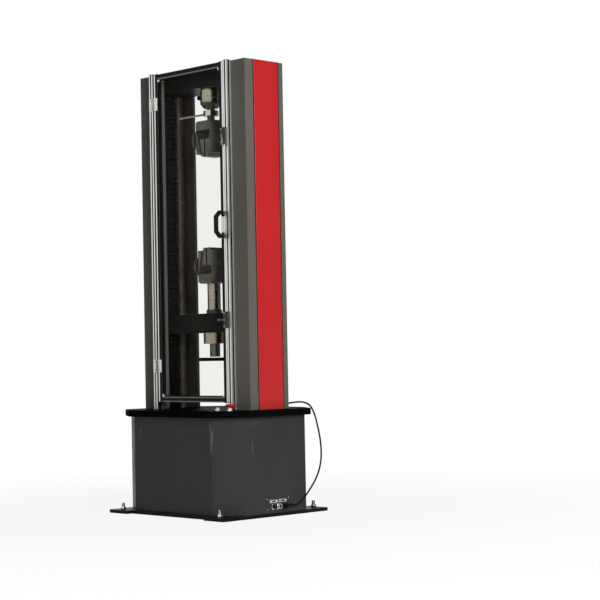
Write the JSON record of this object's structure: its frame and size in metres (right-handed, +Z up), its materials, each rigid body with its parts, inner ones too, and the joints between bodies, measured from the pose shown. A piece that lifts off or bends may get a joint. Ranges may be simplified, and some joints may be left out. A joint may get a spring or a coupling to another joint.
{
  "type": "universal testing machine",
  "caption": "Floor-standing tensile tester: columns on a base cabinet, screw-driven crosshead, load cell, wedge grips and a hinged clear guard door.",
  "frame": {"origin": "on the floor under the middle of the machine", "axes": "+Z up along the columns, +Y to the machine's back, +X to its right as seen from the front"},
  "size_m": [0.8948, 0.66, 2.09],
  "materials": {
    "charcoal_paint": "semi-gloss charcoal powder coat",
    "grey_paint": "satin grey powder coat",
    "red_paint": "gloss red paint",
    "black_gloss": "gloss black paint",
    "black_paint": "satin black paint",
    "bright_steel": "zinc-plated, fine brushed",
    "polished_steel": "polished hard chrome",
    "ground_steel": "ground and oiled",
    "phosphate_steel": "dark phosphate coat",
    "jaw_steel": "hardened, serrated face",
    "bronze": "cast bronze, machined",
    "motor_shell": "cast aluminium, black paint",
    "aluminium": "anodised extrusion",
    "clear_pane": "clear polycarbonate sheet",
    "black_plastic": "moulded, fine grain",
    "drive_shell": "moulded, plain",
    "red_plastic": "moulded, gloss",
    "pale_plastic": "moulded, gloss white",
    "bellows_cloth": "coated cloth, pleated",
    "belt_rubber": "toothed belt rubber",
    "cable_jacket": "smooth black jacket"
  },
  "bodies": {
    "frame": {"cabinet_front": "charcoal_paint", "cabinet_rear": "charcoal_paint", "cabinet_sides": "charcoal_paint", "cabinet_corners": "charcoal_paint", "column_cover_left": "grey_paint", "column_cover_right": "grey_paint", "side_panels": "red_paint", "table_plate": "black_gloss", "floor_plate": "black_paint", "top_beam": "black_paint", "rear_tie_bar": "black_paint", "motor_bracket": "black_paint", "levelling_feet": "bright_steel", "connector_panel": "bright_steel", "panel_connectors": "bright_steel", "hinge_fixed_leaves": "bright_steel", "control_bezels": "bright_steel", "load_cell": "polished_steel", "guide_columns": "polished_steel", "screw_bearings": "ground_steel", "upper_adapter": "phosphate_steel", "upper_grip_body": "phosphate_steel", "servo_motor": "motor_shell", "door_posts": "aluminium", "cable_gland": "black_plastic", "cable_plug": "black_plastic", "servo_drive": "drive_shell", "upper_bellows": "bellows_cloth", "lower_bellows": "bellows_cloth", "drive_belt": "belt_rubber", "signal_cable": "cable_jacket"},
    "left_screw": {"ball_screw_left": "ground_steel"},
    "right_screw": {"ball_screw_right": "ground_steel"},
    "motor_shaft": {"motor_pulley": "ground_steel"},
    "crosshead": {"moving_crosshead": "black_paint", "ball_nuts": "ground_steel", "guide_bushes": "bronze", "lower_adapter": "polished_steel", "lower_grip_base": "polished_steel", "lower_grip_body": "phosphate_steel"},
    "lower_wheel": {"lower_hand_wheel": "phosphate_steel"},
    "lower_left_jaw": {"lower_jaw_left": "jaw_steel"},
    "lower_right_jaw": {"lower_jaw_right": "jaw_steel"},
    "upper_wheel": {"upper_hand_wheel": "phosphate_steel"},
    "upper_left_jaw": {"upper_jaw_left": "jaw_steel"},
    "upper_right_jaw": {"upper_jaw_right": "jaw_steel"},
    "ring": {"lock_ring": "bright_steel", "tommy_bar": "bright_steel"},
    "door": {"door_stiles": "aluminium", "door_rails": "aluminium", "door_pane": "clear_pane", "door_handle": "black_plastic", "hinge_door_leaves": "bright_steel", "latch_bases": "black_plastic"},
    "upper_latch": {"latch_lever_upper": "bright_steel"},
    "lower_latch": {"latch_lever_lower": "bright_steel"},
    "stop_stem": {"estop_stem": "black_plastic"},
    "stop_head": {"estop_head": "red_plastic"},
    "left_button": {"button_left": "pale_plastic"},
    "right_button": {"button_right": "pale_plastic"}
  },
  "joints": [
    {"name": "crosshead_slide", "type": "slide", "parent": "frame", "child": "crosshead", "axis": [0, 0, 1], "range_m": [-0.2, 0.36], "deforming": ["upper_bellows", "lower_bellows"]},
    {"name": "left_screw_turn", "type": "hinge", "parent": "frame", "child": "left_screw", "pos_m": [-0.309, -0.028, 0.486], "axis": [0, 0, 1], "range_deg": [-7205, 12965]},
    {"name": "right_screw_turn", "type": "hinge", "parent": "frame", "child": "right_screw", "pos_m": [0.309, -0.028, 0.486], "axis": [0, 0, 1], "range_deg": [-7205, 12965]},
    {"name": "motor_turn", "type": "hinge", "parent": "frame", "child": "motor_shaft", "pos_m": [0, 0.11, 0.39], "axis": [0, 0, 1], "range_deg": [-13205, 23765]},
    {"name": "lower_left_jaw_slide", "type": "slide", "parent": "crosshead", "child": "lower_left_jaw", "axis": [0.2079, 0, 0.9781], "range_m": [-0.03, 0.016]},
    {"name": "lower_right_jaw_slide", "type": "slide", "parent": "crosshead", "child": "lower_right_jaw", "axis": [-0.2079, 0, 0.9781], "range_m": [-0.0301, 0.0161]},
    {"name": "lower_wheel_turn", "type": "hinge", "parent": "crosshead", "child": "lower_wheel", "pos_m": [-0.085, 0, 1.162], "axis": [1, 0, 0], "range_deg": [-2165, 1157]},
    {"name": "upper_left_jaw_slide", "type": "slide", "parent": "frame", "child": "upper_left_jaw", "axis": [0.2079, 0, -0.9781], "range_m": [-0.03, 0.016]},
    {"name": "upper_right_jaw_slide", "type": "slide", "parent": "frame", "child": "upper_right_jaw", "axis": [-0.2079, 0, -0.9781], "range_m": [-0.0301, 0.0161]},
    {"name": "upper_wheel_turn", "type": "hinge", "parent": "frame", "child": "upper_wheel", "pos_m": [-0.085, 0, 1.766], "axis": [1, 0, 0], "range_deg": [-2165, 1157]},
    {"name": "lock_ring_turn", "type": "hinge", "parent": "frame", "child": "ring", "pos_m": [0, 0, 1.887], "axis": [0, 0, 1], "range_deg": [-90, 30]},
    {"name": "door_swing", "type": "hinge", "parent": "frame", "child": "door", "pos_m": [-0.246, -0.154, 1.3], "axis": [0, 0, -1], "range_deg": [0, 150]},
    {"name": "upper_latch_turn", "type": "hinge", "parent": "door", "child": "upper_latch", "pos_m": [0.256, -0.163, 1.744], "axis": [0, 1, 0], "range_deg": [0, 90]},
    {"name": "lower_latch_turn", "type": "hinge", "parent": "door", "child": "lower_latch", "pos_m": [0.256, -0.163, 0.899], "axis": [0, 1, 0], "range_deg": [-90, 0]},
    {"name": "stop_press", "type": "slide", "parent": "frame", "child": "stop_stem", "axis": [0, 0, -1], "range_m": [0, 0.005], "stiffness_N_per_m": 3000, "springref_m": -0.002},
    {"name": "stop_twist", "type": "hinge", "parent": "stop_stem", "child": "stop_head", "pos_m": [0.306, -0.185, 0.5], "axis": [0, 0, 1], "range_deg": [0, 45], "stiffness_Nm_per_rad": 0.2, "springref_deg": -5.73},
    {"name": "left_button_press", "type": "slide", "parent": "frame", "child": "left_button", "axis": [0, 0, -1], "range_m": [0, 0.003], "stiffness_N_per_m": 1500, "springref_m": -0.001},
    {"name": "right_button_press", "type": "slide", "parent": "frame", "child": "right_button", "axis": [0, 0, -1], "range_m": [0, 0.003], "stiffness_N_per_m": 1500, "springref_m": -0.001}
  ],
  "couplings": [
    {"joint": "left_screw_turn", "follows": "crosshead_slide", "rad_per_m": 628.32},
    {"joint": "right_screw_turn", "follows": "crosshead_slide", "rad_per_m": 628.32},
    {"joint": "motor_turn", "follows": "crosshead_slide", "rad_per_m": 1151.9},
    {"joint": "lower_right_jaw_slide", "follows": "lower_left_jaw_slide", "ratio": 1},
    {"joint": "lower_wheel_turn", "follows": "lower_left_jaw_slide", "rad_per_m": 1256.6},
    {"joint": "upper_right_jaw_slide", "follows": "upper_left_jaw_slide", "ratio": 1},
    {"joint": "upper_wheel_turn", "follows": "upper_left_jaw_slide", "rad_per_m": 1256.6}
  ]
}
